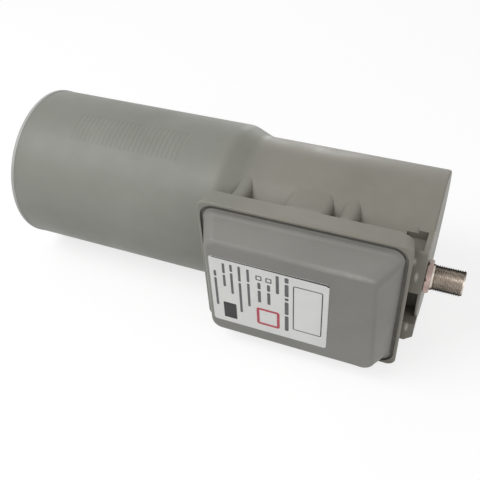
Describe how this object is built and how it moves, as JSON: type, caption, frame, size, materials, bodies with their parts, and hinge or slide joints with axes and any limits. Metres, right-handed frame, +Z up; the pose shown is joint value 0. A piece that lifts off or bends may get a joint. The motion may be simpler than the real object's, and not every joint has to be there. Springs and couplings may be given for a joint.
{
  "type": "satellite lnb",
  "caption": "Round die-cast satellite feed receiver: a wide tube narrows over a shoulder to a slimmer body with a bevelled electronics box on its side and a threaded coaxial port.",
  "frame": {"origin": "centre of the casting's mouth, on the waveguide axis", "axes": "+X along the waveguide axis towards the coaxial port, the lid faces -Y, +Z up"},
  "size_m": [0.1888, 0.0812, 0.0667],
  "materials": {
    "paint": "satin grey paint, slightly uneven",
    "cap_plastic": "pale translucent cap",
    "seal_rubber": "matt grey",
    "label": "white sticker with plain blocks and bars, no lettering",
    "nickel": "dull nickel plate",
    "washer": "dark",
    "insulator": "white, waxy",
    "gilt_brass": "polished",
    "board": "green laminate",
    "rod": "dark, matt",
    "shield": "pressed sheet",
    "screw_steel": "zinc plated",
    "ceramic": "fired ceramic",
    "tuner_brass": "turned",
    "chip_black": "moulded",
    "capacitor_tan": "fired ceramic",
    "can": "bright can",
    "ferrite": "ferrite"
  },
  "bodies": {
    "root": {"feed_body": "paint", "mouth_cap": "cap_plastic", "box_lid": "paint", "lid_seal": "seal_rubber", "rating_label": "label", "connector_body": "nickel", "connector_washer": "washer", "connector_insulator": "insulator", "connector_contact": "gilt_brass", "circuit_board": "board", "front_probe": "gilt_brass", "rear_probe": "gilt_brass", "probe_sleeves": "insulator", "isolation_rod": "rod", "shield_cover": "shield", "shield_screws": "screw_steel", "resonator_spacer": "insulator", "resonator_puck": "ceramic", "tuning_screw": "tuner_brass", "amplifier_chips": "chip_black", "mixer_chip": "chip_black", "regulator": "chip_black", "chip_capacitors": "capacitor_tan", "reservoir_capacitor": "can", "feed_choke": "ferrite"}
  },
  "joints": []
}
